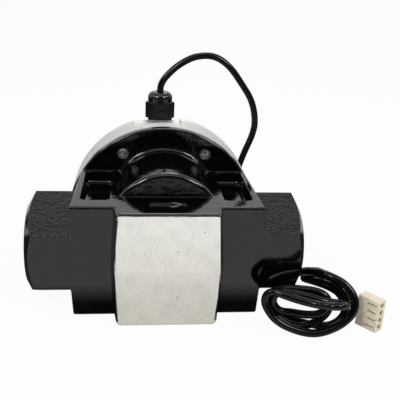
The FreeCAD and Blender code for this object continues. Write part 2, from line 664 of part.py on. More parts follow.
def oval_gear(axis, long_axis_turn):
    """One oval gear with its bush bore and the magnet holes in its back face."""
    front = FLANGE_BACK_Y + GEAR_SIDE_CLEARANCE
    back = RING_BACK_Y - GEAR_SIDE_CLEARANCE
    gear = Part.Face(oval_gear_outline()).extrude(V(0, back - front, 0))
    gear.rotate(V(0, 0, 0), Y_AXIS, -long_axis_turn)
    gear.translate(axis + V(0, front, 0))
    gear = gear.cut(rod_y(axis.x, axis.z, BUSH_RADIUS, front - THROUGH, back + THROUGH))
    for place in magnet_places(axis, long_axis_turn):
        gear = gear.cut(rod_y(place.x, place.z, MAGNET_RADIUS, back - MAGNET_LENGTH, back + THROUGH))
    return gear


def gear_bush(axis):
    """The plain bearing bush in a gear."""
    front = FLANGE_BACK_Y + GEAR_SIDE_CLEARANCE
    back = RING_BACK_Y - GEAR_SIDE_CLEARANCE
    bore = rod_y(axis.x, axis.z, SHAFT_RADIUS + BUSH_CLEARANCE, front - THROUGH, back + THROUGH)
    return rod_y(axis.x, axis.z, BUSH_RADIUS, front, back).cut(bore)


def gear_magnets(axis, long_axis_turn):
    """The two rod magnets flush in a gear's back face."""
    back = RING_BACK_Y - GEAR_SIDE_CLEARANCE
    rods = []
    for place in magnet_places(axis, long_axis_turn):
        rods.append(rod_y(place.x, place.z, MAGNET_RADIUS, back - MAGNET_LENGTH, back))
    return Part.makeCompound(rods)


def gear_shaft(axis):
    """A fixed shaft between the body's and the cover's sockets, with chamfered ends."""
    shaft = rod_y(axis.x, axis.z, SHAFT_RADIUS, FLANGE_BACK_Y - SHAFT_SOCKET, RING_BACK_Y + SHAFT_SOCKET)
    ends = [edge for edge in shaft.Edges if isinstance(edge.Curve, Part.Circle)]
    return shaft.makeChamfer(SHAFT_CHAMFER, ends)


def hex_key(x, z, flats, y0, y1):
    """The cutter of a hexagon socket along Y."""
    key = hex_prism(flats, y1 - y0, V(0, 0, 0))
    key.rotate(V(0, 0, 0), X_AXIS, -90)
    key.translate(V(x, y0, z))
    return key


def body_screws():
    """Six socket head screws from the cover through the ring into the flange."""
    screws = []
    seat = COVER_BACK_Y - SCREW_HEAD_HEIGHT
    tip = FLANGE_FRONT_Y + SCREW_TIP_RECESS
    for x, z in screw_places():
        shank = rod_y(x, z, SCREW_RADIUS, tip, seat)
        shank = shank.makeChamfer(SCREW_TIP_CHAMFER, edges_at(shank, Y_AXIS, tip))
        head = rod_y(x, z, SCREW_HEAD_RADIUS, seat, COVER_BACK_Y)
        head = head.makeChamfer(SCREW_HEAD_CHAMFER, edges_at(head, Y_AXIS, COVER_BACK_Y))
        key = hex_key(x, z, SCREW_KEY_FLATS, COVER_BACK_Y - SCREW_KEY_DEPTH, COVER_BACK_Y + THROUGH)
        screws.append(shank.fuse(head).cut(key))
    return Part.makeCompound(screws)


def cap_form(radius, y0, y1):
    """A round plug along Y on the chamber's centre."""
    return rod_y(0, CHAMBER_HEIGHT, radius, y0, y1)


def pulser_cap():
    """The cap over the electronics, with a flat-topped turret for the gland and four screw pillars."""
    cap = cap_form(CAP_RADIUS, CAP_FRONT_Y, CAP_BACK_Y)
    turret = block(GLAND_X - GLAND_SEAT_HALF_WIDTH, GLAND_X + GLAND_SEAT_HALF_WIDTH, CAP_FRONT_Y, CAP_BACK_Y,
                   CHAMBER_HEIGHT, GLAND_SEAT_HEIGHT)
    rear_edges = [edge for edge in edges_along(turret, Z_AXIS) if edge.BoundBox.YMin > CAP_FRONT_Y + THROUGH]
    turret = turret.makeFillet(CAP_EDGE_RADIUS, rear_edges)
    cap = cap.makeFillet(CAP_EDGE_RADIUS, edges_at(cap, Y_AXIS, CAP_BACK_Y))
    cap = cap.fuse(turret)
    hollow = cap_form(CAP_RADIUS - CAP_WALL, CAP_FRONT_Y - THROUGH, CAP_BACK_Y - CAP_WALL)
    pillars = []
    for x, z in circle_places(CAP_SCREW_CIRCLE, CAP_SCREW_ANGLES):
        pillars.append(rod_y(x, z, CAP_PILLAR_RADIUS, CAP_FRONT_Y - THROUGH, CAP_BACK_Y))
    cap = cap.cut(hollow.cut(Part.makeCompound(pillars)))
    cutters = [rod_z(GLAND_X, GLAND_Y, GLAND_THREAD_RADIUS + GLAND_THREAD_CLEARANCE,
                     CHAMBER_HEIGHT, GLAND_SEAT_HEIGHT + THROUGH)]
    hole = CAP_SCREW_RADIUS + CABLE_FIT
    for x, z in circle_places(CAP_SCREW_CIRCLE, CAP_SCREW_ANGLES):
        cutters.append(rod_y(x, z, hole, CAP_FRONT_Y - THROUGH, CAP_BACK_Y + THROUGH))
    for cutter in cutters:
        cap = cap.cut(cutter)
    return cap.removeSplitter()


def cap_gasket():
    """The flat gasket between the cover and the pulser cap."""
    gasket = cap_form(CAP_RADIUS, COVER_BACK_Y, CAP_FRONT_Y)
    gasket = gasket.cut(cap_form(CAP_RADIUS - CAP_WALL, COVER_BACK_Y - THROUGH, CAP_FRONT_Y + THROUGH))
    return gasket


def cap_screws():
    """Four pan head screws that hold the pulser cap."""
    screws = []
    for x, z in circle_places(CAP_SCREW_CIRCLE, CAP_SCREW_ANGLES):
        shank = rod_y(x, z, CAP_SCREW_RADIUS, COVER_BACK_Y - CAP_SCREW_GRIP + CABLE_FIT, CAP_BACK_Y)
        head = rod_y(x, z, CAP_HEAD_RADIUS, CAP_BACK_Y, CAP_BACK_Y + CAP_HEAD_HEIGHT)
        head = head.makeChamfer(CAP_HEAD_CHAMFER, edges_at(head, Y_AXIS, CAP_BACK_Y + CAP_HEAD_HEIGHT))
        screws.append(shank.fuse(head))
    return Part.makeCompound(screws)


def pulser_board():
    """The round circuit board on its four spacers."""
    board = cap_form(BOARD_RADIUS, BOARD_FRONT_Y, BOARD_BACK_Y)
    hole = BOARD_SCREW_RADIUS + CABLE_FIT
    for x, z in circle_places(BOARD_SCREW_CIRCLE, BOARD_SCREW_ANGLES):
        board = board.cut(rod_y(x, z, hole, BOARD_FRONT_Y - THROUGH, BOARD_BACK_Y + THROUGH))
    return board


def board_spacers():
    """Four tubular spacers that hold the board off the cover."""
    spacers = []
    for x, z in circle_places(BOARD_SCREW_CIRCLE, BOARD_SCREW_ANGLES):
        bore = rod_y(x, z, BOARD_SCREW_RADIUS + CABLE_FIT, COVER_BACK_Y - THROUGH, BOARD_FRONT_Y + THROUGH)
        spacers.append(rod_y(x, z, SPACER_RADIUS, COVER_BACK_Y, BOARD_FRONT_Y).cut(bore))
    return Part.makeCompound(spacers)


def board_screws():
    """Four small screws through the board and spacers."""
    screws = []
    for x, z in circle_places(BOARD_SCREW_CIRCLE, BOARD_SCREW_ANGLES):
        shank = rod_y(x, z, BOARD_SCREW_RADIUS, COVER_BACK_Y - BOARD_GAP + CABLE_FIT, BOARD_BACK_Y)
        head = rod_y(x, z, BOARD_HEAD_RADIUS, BOARD_BACK_Y, BOARD_BACK_Y + BOARD_HEAD_HEIGHT)
        screws.append(shank.fuse(head))
    return Part.makeCompound(screws)


def magnet_sensors():
    """Two sensors on the board's front that reach into pockets of the cover."""
    sensors = []
    half_width = SENSOR_WIDTH / 2
    half_height = SENSOR_THICKNESS / 2
    for x, z in sensor_places():
        sensors.append(block(x - half_width, x + half_width, COVER_BACK_Y - SENSOR_REACH, BOARD_FRONT_Y,
                             z - half_height, z + half_height))
    return Part.makeCompound(sensors)


def gland_axis_point(height):
    """A point on the gland's axis."""
    return V(GLAND_X, GLAND_Y, height)


def gland_seat_ring():
    """The flat sealing ring between the gland's body and the turret."""
    radius = GLAND_BODY_FLATS / 2 - GLAND_GAP
    ring = rod_z(GLAND_X, GLAND_Y, radius, GLAND_SEAT_HEIGHT, GLAND_SEAT_HEIGHT + GLAND_SEAT_RING)
    hole = rod_z(GLAND_X, GLAND_Y, GLAND_THREAD_RADIUS + CABLE_FIT,
                 GLAND_SEAT_HEIGHT - THROUGH, GLAND_BODY_BASE + THROUGH)
    return ring.cut(hole)


def gland_body():
    """The gland's lower body: threaded stem, hexagon and the neck that the nut turns on."""
    stem = rod_z(GLAND_X, GLAND_Y, GLAND_THREAD_RADIUS, GLAND_SEAT_HEIGHT - GLAND_THREAD_LENGTH,
                 GLAND_BODY_BASE)
    flats = hex_prism(GLAND_BODY_FLATS, GLAND_BODY_HEIGHT, gland_axis_point(GLAND_BODY_BASE))
    neck = rod_z(GLAND_X, GLAND_Y, GLAND_NECK_RADIUS, GLAND_BODY_TOP, GLAND_BODY_TOP + GLAND_NECK_HEIGHT)
    body = stem.multiFuse([flats, neck])
    low = GLAND_SEAT_HEIGHT - GLAND_THREAD_LENGTH - THROUGH
    body = body.cut(rod_z(GLAND_X, GLAND_Y, CABLE_RADIUS + GLAND_GAP, low, GLAND_DOME_TOP))
    insert = rod_z(GLAND_X, GLAND_Y, INSERT_RADIUS + CABLE_FIT, GLAND_BODY_TOP, GLAND_DOME_TOP)
    return body.cut(insert).removeSplitter()


def gland_insert():
    """The rubber insert that the nut squeezes onto the cable."""
    insert = rod_z(GLAND_X, GLAND_Y, INSERT_RADIUS, GLAND_BODY_TOP, GLAND_NUT_TOP)
    bore = rod_z(GLAND_X, GLAND_Y, CABLE_RADIUS + CABLE_FIT,
                 GLAND_BODY_TOP - THROUGH, GLAND_NUT_TOP + THROUGH)
    return insert.cut(bore)


def gland_nut():
    """The domed hexagonal nut: a hexagon with a turned dome, a shoulder and the cable's mouth."""
    flats = hex_prism(GLAND_NUT_FLATS, GLAND_NUT_HEIGHT, gland_axis_point(GLAND_NUT_BASE), 0)
    corner = GLAND_NUT_FLATS / 2 / math.cos(math.radians(30))
    turned = Part.makeCone(corner + 2 * GLAND_NUT_HEIGHT, GLAND_NUT_FLATS / 2 - GLAND_GAP,
                           (corner + 2 * GLAND_NUT_HEIGHT - GLAND_NUT_FLATS / 2 + GLAND_GAP) / 2,
                           gland_axis_point(0), Z_AXIS)
    turned.translate(V(0, 0, GLAND_NUT_TOP - turned.BoundBox.ZMax))
    flats = flats.common(turned)
    shoulder = GLAND_NUT_TOP + GLAND_DOME_WALL
    rim = V(GLAND_DOME_RADIUS, 0, GLAND_NUT_TOP - THROUGH)
    wall_top = V(GLAND_DOME_RADIUS, 0, shoulder)
    crown = V(GLAND_DOME_TOP_RADIUS, 0, GLAND_DOME_TOP)
    lean = math.sqrt(0.5)
    mid = V(GLAND_DOME_TOP_RADIUS + (GLAND_DOME_RADIUS - GLAND_DOME_TOP_RADIUS) * lean, 0,
            shoulder + (GLAND_DOME_TOP - shoulder) * lean)
    profile = [Part.LineSegment(V(0, 0, GLAND_NUT_TOP - THROUGH), rim).toShape(),
               Part.LineSegment(rim, wall_top).toShape(),
               Part.Arc(wall_top, mid, crown).toShape(),
               Part.LineSegment(crown, V(0, 0, GLAND_DOME_TOP)).toShape(),
               Part.LineSegment(V(0, 0, GLAND_DOME_TOP), V(0, 0, GLAND_NUT_TOP - THROUGH)).toShape()]
    dome = Part.Face(Part.Wire(profile)).revolve(V(0, 0, 0), Z_AXIS, 360)
    dome.translate(V(GLAND_X, GLAND_Y, 0))
    nut = flats.fuse(dome)
    neck = GLAND_NECK_RADIUS + GLAND_THREAD_CLEARANCE
    nut = nut.cut(rod_z(GLAND_X, GLAND_Y, neck, GLAND_NUT_BASE - THROUGH, GLAND_NUT_TOP))
    mouth = rod_z(GLAND_X, GLAND_Y, CABLE_RADIUS + GLAND_GAP,
                  GLAND_NUT_TOP - THROUGH, GLAND_DOME_TOP + THROUGH)
    return nut.cut(mouth).removeSplitter()


def inner_cable():
    """The straight end of the cable inside the gland and the cap."""
    return rod_z(GLAND_X, GLAND_Y, CABLE_RADIUS, INNER_CABLE_END, CABLE_EXIT.z)


def inner_wires():
    """Four wires from the end of the cable down to the board's back."""
    wires = []
    spread = (CABLE_RADIUS - LEAD_RADIUS) * math.sqrt(0.5)
    landing = CHAMBER_HEIGHT + BOARD_RADIUS - INNER_WIRE_INSET
    for side_x in (-1, 1):
        for side_y in (-1, 1):
            top = V(GLAND_X + side_x * spread, GLAND_Y + side_y * spread, INNER_CABLE_END)
            drop = V(top.x, top.y, landing - side_y * INNER_WIRE_STAGGER)
            wires.append(lead(top, drop).fuse(lead(drop, V(drop.x, BOARD_BACK_Y, drop.z))))
    return Part.makeCompound(wires)


def lead(start, end):
    """A straight round wire between two points."""
    way = end - start
    return Part.makeCylinder(LEAD_RADIUS, way.Length, start, way)


def cord_path(points):
    """Straight runs joined by tangent arcs, each arc as large as its two runs allow."""
    corners = [V(point) for point in points]
    edges = []
    radii = []
    start = corners[0]
    for before, corner, after in zip(corners, corners[1:], corners[2:]):
        back = before - corner
        ahead = after - corner
        reach = ARC_SHARE * min(back.Length, ahead.Length)
        turn = math.pi - back.getAngle(ahead)
        radius = reach / math.tan(turn / 2)
        back.normalize()
        ahead.normalize()
        entry = corner + back * reach
        leave = corner + ahead * reach
        middle = back + ahead
        middle.normalize()
        depth = radius / math.cos(turn / 2) - radius
        edges.append(Part.LineSegment(start, entry).toShape())
        edges.append(Part.Arc(entry, corner + middle * depth, leave).toShape())
        radii.append(radius)
        start = leave
    edges.append(Part.LineSegment(start, corners[-1]).toShape())
    return Part.Wire(edges), radii


def cord_tube(name, points):
    """A round cable along a route, checked against its section times its length."""
    path, radii = cord_path(points)
    circle = Part.Circle(V(points[0]), V(points[1]) - V(points[0]), CABLE_RADIUS)
    tube = path.makePipeShell([Part.Wire(circle.toShape())], True, False)
    expected = math.pi * CABLE_RADIUS ** 2 * path.Length
    print(name, "length", round(path.Length, 1), "radii", [round(radius, 1) for radius in radii])
    print(name, "volume", round(tube.Volume, 1), "section times length", round(expected, 1))
    return tube


def cable_hank():
    """The closed outer form of the hank: a tilted elliptical cake with rounded edges."""
    ellipse = Part.Ellipse(V(0, 0, -HANK_THICKNESS / 2), HANK_HALF_LENGTH, HANK_HALF_WIDTH)
    cake = Part.Face(Part.Wire(ellipse.toShape())).extrude(V(0, 0, HANK_THICKNESS))
    rims = edges_at(cake, Z_AXIS, HANK_THICKNESS / 2) + edges_at(cake, Z_AXIS, -HANK_THICKNESS / 2)
    cake = cake.makeFillet(HANK_EDGE_RADIUS, rims)
    cake.rotate(V(0, 0, 0), X_AXIS, HANK_TILT)
    cake.translate(HANK_CENTRE)
    return cake


def place_connector(shape):
    """Turn a shape from its own frame, X towards the mating end, to the connector's place."""
    turn = math.degrees(math.atan2(CONNECTOR_AXIS.y, CONNECTOR_AXIS.x))
    shape.rotate(V(0, 0, 0), Z_AXIS, turn)
    shape.translate(CONNECTOR_TIP)
    return shape


def cell_heights():
    """Middle heights of the connector's cells."""
    return [CONNECTOR_END_WALL + CONNECTOR_PITCH * (way + 0.5) for way in range(CONNECTOR_WAYS)]


def connector_housing():
    """The housing with a cell for each contact and a slot in its side for each cell."""
    half = CONNECTOR_THICKNESS / 2
    housing = block(-CONNECTOR_LENGTH, 0, -half, half, 0, CONNECTOR_HEIGHT)
    housing = housing.makeChamfer(CONNECTOR_END_WALL / 2, edges_along(housing, X_AXIS))
    back = -CONNECTOR_LENGTH - THROUGH
    half_cell = CONNECTOR_CELL_WIDTH / 2
    half_slot = CONNECTOR_WINDOW_HEIGHT / 2
    slot_end = -CONNECTOR_WINDOW_SETBACK - CONNECTOR_WINDOW_LENGTH
    for height in cell_heights():
        low = height - CONNECTOR_CELL_HEIGHT / 2
        cell = block(back, THROUGH, -half_cell, half_cell, low, low + CONNECTOR_CELL_HEIGHT)
        slot = block(slot_end, -CONNECTOR_WINDOW_SETBACK, -half - THROUGH, 0,
                     height - half_slot, height + half_slot)
        housing = housing.cut(cell).cut(slot)
    return place_connector(housing)


def connector_contacts():
    """Four box contacts on the floors of their cells."""
    contacts = []
    half = CONTACT_SIZE / 2
    back = -CONNECTOR_LENGTH + CONTACT_BACK_RECESS
    for height in cell_heights():
        low = height - CONNECTOR_CELL_HEIGHT / 2
        contacts.append(block(back, -CONTACT_RECESS, -half, half, low, low + CONTACT_SIZE))
    return place_connector(Part.makeCompound(contacts))


def connector_wires():
    """Four wires that fan out from the end of the cable to the contacts."""
    wires = []
    middle = CONNECTOR_HEIGHT / 2
    for way, height in enumerate(cell_heights()):
        side = LEAD_SPREAD if way % 2 else -LEAD_SPREAD
        level = LEAD_SPREAD if height > middle else -LEAD_SPREAD
        start = V(-CONNECTOR_LENGTH - LEAD_LENGTH + LEAD_GAP, side, middle + level)
        wires.append(lead(start, V(-CONNECTOR_LENGTH + CONTACT_BACK_RECESS - LEAD_GAP, 0, height)))
    return place_connector(Part.makeCompound(wires))


def flow_meter():
    """Every piece of the meter by name. The upper gear lies across, the lower one stands."""
    hank = cable_hank()
    return {
        "body_casting": body_casting(),
        "chamber_ring": chamber_ring(),
        "chamber_cover": chamber_cover(),
        "front_chamber_seal": chamber_seal(FLANGE_BACK_Y, -1),
        "rear_chamber_seal": chamber_seal(RING_BACK_Y, 1),
        "upper_shaft": gear_shaft(UPPER_AXIS),
        "lower_shaft": gear_shaft(LOWER_AXIS),
        "upper_oval_gear": oval_gear(UPPER_AXIS, 0),
        "lower_oval_gear": oval_gear(LOWER_AXIS, 90),
        "upper_bush": gear_bush(UPPER_AXIS),
        "lower_bush": gear_bush(LOWER_AXIS),
        "upper_magnets": gear_magnets(UPPER_AXIS, 0),
        "lower_magnets": gear_magnets(LOWER_AXIS, 90),
        "body_screws": body_screws(),
        "pulser_cap": pulser_cap(),
        "cap_gasket": cap_gasket(),
        "cap_screws": cap_screws(),
        "pulser_board": pulser_board(),
        "board_spacers": board_spacers(),
        "board_screws": board_screws(),
        "magnet_sensors": magnet_sensors(),
        "gland_seat_ring": gland_seat_ring(),
        "gland_body": gland_body(),
        "gland_insert": gland_insert(),
        "gland_nut": gland_nut(),
        "inner_cable": inner_cable(),
        "inner_wires": inner_wires(),
        "cable_run": cord_tube("cable_run", [CABLE_EXIT] + CABLE_RUN).cut(hank),
        "cable_hank": hank,
        "cable_tail": cord_tube("cable_tail", CABLE_TAIL + [CABLE_END]).cut(hank),
        "connector_wires": connector_wires(),
        "connector_housing": connector_housing(),
        "connector_contacts": connector_contacts(),
    }


os.makedirs("parts", exist_ok=True)
for node, shape in flow_meter().items():
    shape.exportStep("parts/" + node + ".step")
    print(node, "solids", len(shape.Solids), "valid", shape.isValid(), "volume", round(shape.Volume, 1))
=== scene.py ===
import bpy
import json
import math
import numpy as np
from mathutils import Matrix, Vector


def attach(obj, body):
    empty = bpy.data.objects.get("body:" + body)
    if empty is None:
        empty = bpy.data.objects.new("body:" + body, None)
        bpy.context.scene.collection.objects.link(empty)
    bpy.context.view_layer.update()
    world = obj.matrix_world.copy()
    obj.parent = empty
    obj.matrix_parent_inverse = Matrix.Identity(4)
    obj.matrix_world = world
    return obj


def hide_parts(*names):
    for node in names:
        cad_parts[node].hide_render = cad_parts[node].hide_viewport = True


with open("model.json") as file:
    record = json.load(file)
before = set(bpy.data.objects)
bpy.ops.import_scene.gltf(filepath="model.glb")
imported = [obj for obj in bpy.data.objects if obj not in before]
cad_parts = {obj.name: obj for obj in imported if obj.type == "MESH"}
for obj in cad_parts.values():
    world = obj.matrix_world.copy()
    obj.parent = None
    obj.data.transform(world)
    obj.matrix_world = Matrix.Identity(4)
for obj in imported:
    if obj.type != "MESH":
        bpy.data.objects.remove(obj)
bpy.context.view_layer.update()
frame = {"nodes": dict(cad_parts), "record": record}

NODES = frame["nodes"]
MM = 0.001

# Places on the meter in millimetres, as in the part's source
PORT_END = 76.7
PORT_HEIGHT = 33.5
CHAMBER_HEIGHT = 47.3
BLOCK_TOP = 65.8
FLANGE_FRONT = 34.0
FLANGE_BACK = 39.0


# Camera at the photograph's angle

CAMERA_PLACE = Vector((-17.4, -332.8, 187.4))
CAMERA_PITCH, CAMERA_YAW, CAMERA_ROLL = (math.radians(angle) for angle in (20.87, 6.31, 2.57))
CAMERA_LENS = 56.4
CAMERA_SENSOR = 36.0


def photo_camera():
    """A camera in front of and above the meter, turned a little to the right and rolled."""
    level = math.cos(CAMERA_PITCH)
    forward = Vector((math.sin(CAMERA_YAW) * level, math.cos(CAMERA_YAW) * level, -math.sin(CAMERA_PITCH)))
    right = Vector((math.cos(CAMERA_YAW), -math.sin(CAMERA_YAW), 0))
    up = right.cross(forward)
    side = right * math.cos(CAMERA_ROLL) + up * math.sin(CAMERA_ROLL)
    head = up * math.cos(CAMERA_ROLL) - right * math.sin(CAMERA_ROLL)
    data = bpy.data.cameras.new("photo_camera")
    data.sensor_width = CAMERA_SENSOR
    data.lens = CAMERA_LENS
    data.clip_start = 0.01
    camera = bpy.data.objects.new("photo_camera", data)
    place = Matrix((side, head, -forward)).transposed().to_4x4()
    place.translation = CAMERA_PLACE * MM
    camera.matrix_world = place
    bpy.context.scene.collection.objects.link(camera)
    bpy.context.scene.camera = camera


photo_camera()


# Signal cable: one spline from the gland, through the hank, to the connector

CABLE_RADIUS = 2.2
# The run's places, out of the gland, over and down behind the port, then forward along the floor
CABLE_RUN = [
    (-1.5, 76.9, 107.7), (-1.4, 76.9, 111.8), (5.4, 77.3, 119.9), (12.6, 77.4, 125.5),
    (21.2, 77.4, 129.8), (32.9, 77.4, 130.6), (43.6, 77.5, 124.1), (53.0, 77.6, 111.6),
    (60.0, 77.8, 101.5), (63.3, 78.0, 88.5), (62.6, 78.5, 78.6), (57.0, 79.5, 63.8),
    (53.0, 82.0, 48.0), (54.5, 86.0, 32.0), (61.0, 89.0, 17.5), (70.0, 88.5, 7.6),
    (81.0, 81.5, 3.0), (89.0, 68.0, 2.6), (91.5, 51.0, 2.5), (89.5, 35.0, 2.7),
    (86.0, 20.5, 3.9), (83.0, 8.0, 8.2), (81.2, -3.5, 14.5), (81.1, -12.8, 20.6),
    (82.2, -16.9, 22.9), (83.6, -21.0, 24.9), (84.6, -25.2, 27.0),
]
# The hank leans back on the port: its turns are places along it, up its plane and out to the front
HANK_CENTRE = Vector((76.0, -43.5, 18.4))
HANK_TILT = math.radians(64)
HANK_TURNS = [
    (9.1, 15.2, -7.9), (10.3, 14.3, -3.4), (13.8, 12.6, -0.7), (18.2, 10.3, 0.5), (22.0, 6.9, 1.3),
    (24.6, 2.6, 1.8), (25.5, -2.1, 2.0), (24.1, -6.7, 1.6), (20.8, -10.4, 1.0), (16.5, -13.4, 0.5),
    (11.7, -15.6, 0.0), (7.1, -17.0, -0.4), (2.4, -17.5, -0.7), (-2.4, -16.9, -1.0), (-7.0, -15.6, -1.1),
    (-11.5, -13.9, -1.2), (-15.7, -11.6, -1.2), (-19.4, -8.5, -1.1), (-22.2, -4.6, -0.9), (-24.1, -0.2, -0.6),
    (-23.2, 4.1, 0.9), (-19.3, 5.5, 3.4), (-15.4, 3.9, 5.5), (-11.1, 2.3, 6.6), (-6.7, 0.9, 7.9),
    (-2.2, -0.3, 9.0), (2.4, -1.3, 11.2), (5.6, -1.6, 14.8), (9.8, -1.8, 17.7), (14.7, -1.7, 16.2),
    (16.8, -1.4, 11.3), (14.7, -1.0, 6.4), (9.8, -0.5, 4.6), (5.0, 0.7, 5.0), (0.8, 1.9, 4.3),
    (-3.8, 3.0, 3.7), (-8.4, 4.0, 2.8), (-13.0, 5.5, 1.6), (-17.8, 4.9, -0.6), (-19.9, -0.6, -2.3),
    (-15.4, -5.8, -3.2), (-9.2, -6.2, -3.0), (-4.5, -7.1, -2.8), (0.3, -7.6, -2.2), (5.0, -7.5, -1.4),
    (9.2, -5.6, -0.2), (11.3, -1.5, 0.7), (9.4, 2.7, 1.3), (5.1, 4.9, 1.0), (0.5, 5.9, 0.2),
    (-4.2, 6.3, -0.7), (-8.8, 6.7, -1.9), (-13.5, 6.7, -3.2), (-17.9, 5.5, -5.0), (-20.7, 1.9, -6.2),
    (-20.4, -2.8, -6.3), (-18.1, -6.9, -6.0), (-14.6, -10.3, -5.8), (-10.5, -12.7, -5.6), (-5.9, -14.0, -5.3),
    (-1.1, -13.9, -4.9), (3.5, -12.4, -4.5), (7.7, -10.2, -4.8), (11.3, -7.1, -4.3), (13.0, -2.7, -3.6),
    (11.1, 1.5, -3.4), (6.9, 3.8, -3.8), (2.3, 4.9, -4.6), (-2.3, 5.3, -5.7), (-7.0, 5.6, -6.9),
    (-11.6, 5.5, -8.3), (-15.8, 4.0, -9.9), (-18.1, 0.1, -11.0), (-16.9, -4.5, -11.3), (-13.6, -7.9, -11.2),
    (-9.4, -10.1, -10.8), (-4.8, -11.6, -10.3), (-0.2, -12.7, -9.6), (4.4, -13.6, -8.7), (9.1, -14.2, -7.4),
    (13.7, -13.8, -6.3), (17.9, -11.7, -5.2), (20.9, -8.1, -4.4), (22.4, -3.6, -4.0), (22.2, 1.2, -4.1),
    (20.1, 5.4, -4.8), (16.7, 8.5, -6.2), (12.8, 10.5, -8.2),
]
CABLE_TAIL = [
    (85.0, -28.7, 23.8), (81.8, -25.4, 22.5), (80.2, -21.3, 20.5), (80.1, -17.1, 18.3),
    (81.6, -13.3, 15.8), (85.2, -11.1, 13.7), (89.7, -11.7, 12.5), (94.0, -13.8, 11.7),
    (97.7, -16.7, 11.1), (100.4, -20.6, 10.5), (101.2, -25.2, 9.5), (104.0, -29.1, 9.4),
]


def hank_point(along, across, out):
    """A place in the hank: along the floor, up its leaning plane, and out of that plane to the front."""
    up = Vector((0, math.cos(HANK_TILT), math.sin(HANK_TILT)))
    normal = Vector((1, 0, 0)).cross(up)
    return HANK_CENTRE + Vector((along, 0, 0)) + up * across + normal * out


def signal_cable():
    """The whole cable as one round spline along its route.

    Its radius is written at each point, under a bevel of one, because a curve's box grows by its points'
    radius.
    """
    route = [Vector(p) for p in CABLE_RUN]
    route += [hank_point(*turn) for turn in HANK_TURNS]
    route += [Vector(p) for p in CABLE_TAIL]
    curve = bpy.data.curves.new("signal_cable", "CURVE")
    curve.dimensions = "3D"
    curve.bevel_depth = 1.0
    curve.bevel_resolution = 5
    curve.resolution_u = 8
    curve.use_fill_caps = True
    spline = curve.splines.new("NURBS")
    spline.points.add(len(route) - 1)
    for point, place in zip(spline.points, route):
        point.co = (*(place * MM), 1.0)
        point.radius = CABLE_RADIUS * MM
    spline.order_u = 3
    spline.use_endpoint_u = True
    piece = bpy.data.objects.new("signal_cable", curve)
    bpy.context.scene.collection.objects.link(piece)
    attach(piece, "meter")
    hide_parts("cable_run", "cable_hank", "cable_tail")
    return piece


cable = signal_cable()


# Building blocks for materials

MIX_SHARE, MIX_FIRST, MIX_SECOND, MIX_COLOUR = 0, 6, 7, 2


def linear(text):
    """A colour written as sRGB hex, as linear red, green, blue and one."""
    channels = [int(text[i:i + 2], 16) / 255 for i in (1, 3, 5)]
    return [c / 12.92 if c <= 0.04045 else ((c + 0.055) / 1.055) ** 2.4 for c in channels] + [1.0]


def add(tree, kind, inputs=(), **settings):
    """A new node with its settings, and each named input either linked or set."""
    node = tree.nodes.new(kind)
    for name, value in settings.items():
        setattr(node, name, value)
    for key, value in dict(inputs).items():
        if isinstance(value, bpy.types.NodeSocket):
            tree.links.new(value, node.inputs[key])
        else:
            node.inputs[key].default_value = value
    return node


def new_material(name):
    """An empty material with its shader and its place in the object's own coordinates."""
    material = bpy.data.materials.new(name)
    material.use_nodes = True
    tree = material.node_tree
    tree.nodes.clear()
    shader = add(tree, "ShaderNodeBsdfPrincipled")
    add(tree, "ShaderNodeOutputMaterial", {"Surface": shader.outputs["BSDF"]})
    place = add(tree, "ShaderNodeTexCoord").outputs["Object"]
    return material, tree, shader, place


def grain(tree, place, size, stretch=(1, 1, 1), detail=2.0):
    """Noise whose grains measure about that many millimetres, drawn out by the stretch."""
    scale = [1 / (size * MM * s) for s in stretch]
    spread = add(tree, "ShaderNodeMapping", {"Vector": place, "Scale": scale}).outputs[0]
    return add(tree, "ShaderNodeTexNoise", {"Vector": spread, "Scale": 1.0, "Detail": detail}).outputs["Fac"]


def ramp(tree, value, stops):
    """A colour ramp between places from 0 to 1 and their hex colours."""
    node = add(tree, "ShaderNodeValToRGB", {"Fac": value})
    points = node.color_ramp.elements
    while len(points) < len(stops):
        points.new(0.5)
    for point, (where, text) in zip(points, stops):
        point.position = where
        point.color = linear(text)
    return node.outputs["Color"]


def mix(tree, share, first, second, blend="MIX"):
    """Two colours blended by that share."""
    inputs = {MIX_SHARE: share, MIX_FIRST: first, MIX_SECOND: second}
    return add(tree, "ShaderNodeMix", inputs, data_type="RGBA", blend_type=blend).outputs[MIX_COLOUR]


def span(tree, value, low, high):
    """A value from 0 to 1 mapped between two numbers."""
    return add(tree, "ShaderNodeMapRange", {"Value": value, "To Min": low, "To Max": high}).outputs[0]


def edge(tree, value, where, levels):
    """A soft change from the first level to the second while the value crosses from one place to another."""
    inputs = {"Value": value, "From Min": where[0], "From Max": where[1]}
    inputs.update({"To Min": levels[0], "To Max": levels[1]})
    return add(tree, "ShaderNodeMapRange", inputs, interpolation_type="SMOOTHSTEP").outputs[0]


def height_of(tree, place):
    """The height above the floor."""
    return add(tree, "ShaderNodeSeparateXYZ", {0: place}).outputs["Z"]


def bump(tree, shader, height, depth, below=None):
    """Relief of that many millimetres on the shader's normal."""
    inputs = {"Height": height, "Distance": depth * MM, "Strength": 1.0}
    if below is not None:
        inputs["Normal"] = below
    normal = add(tree, "ShaderNodeBump", inputs).outputs[0]
    tree.links.new(normal, shader.inputs["Normal"])
    return normal


def plain(name, stops, size, rough, depth, metallic=0.0, stretch=(1, 1, 1), shine=0.5):
    """A finish with a grain in its colour, roughness and relief."""
    material, tree, shader, place = new_material(name)
    value = grain(tree, place, size, stretch)
    tree.links.new(ramp(tree, value, stops), shader.inputs["Base Color"])
    tree.links.new(span(tree, value, *rough), shader.inputs["Roughness"])
    shader.inputs["Metallic"].default_value = metallic
    shader.inputs["Specular IOR Level"].default_value = shine
    bump(tree, shader, value, depth)
    return material


# Materials

LEAN_HEIGHT = 100.0


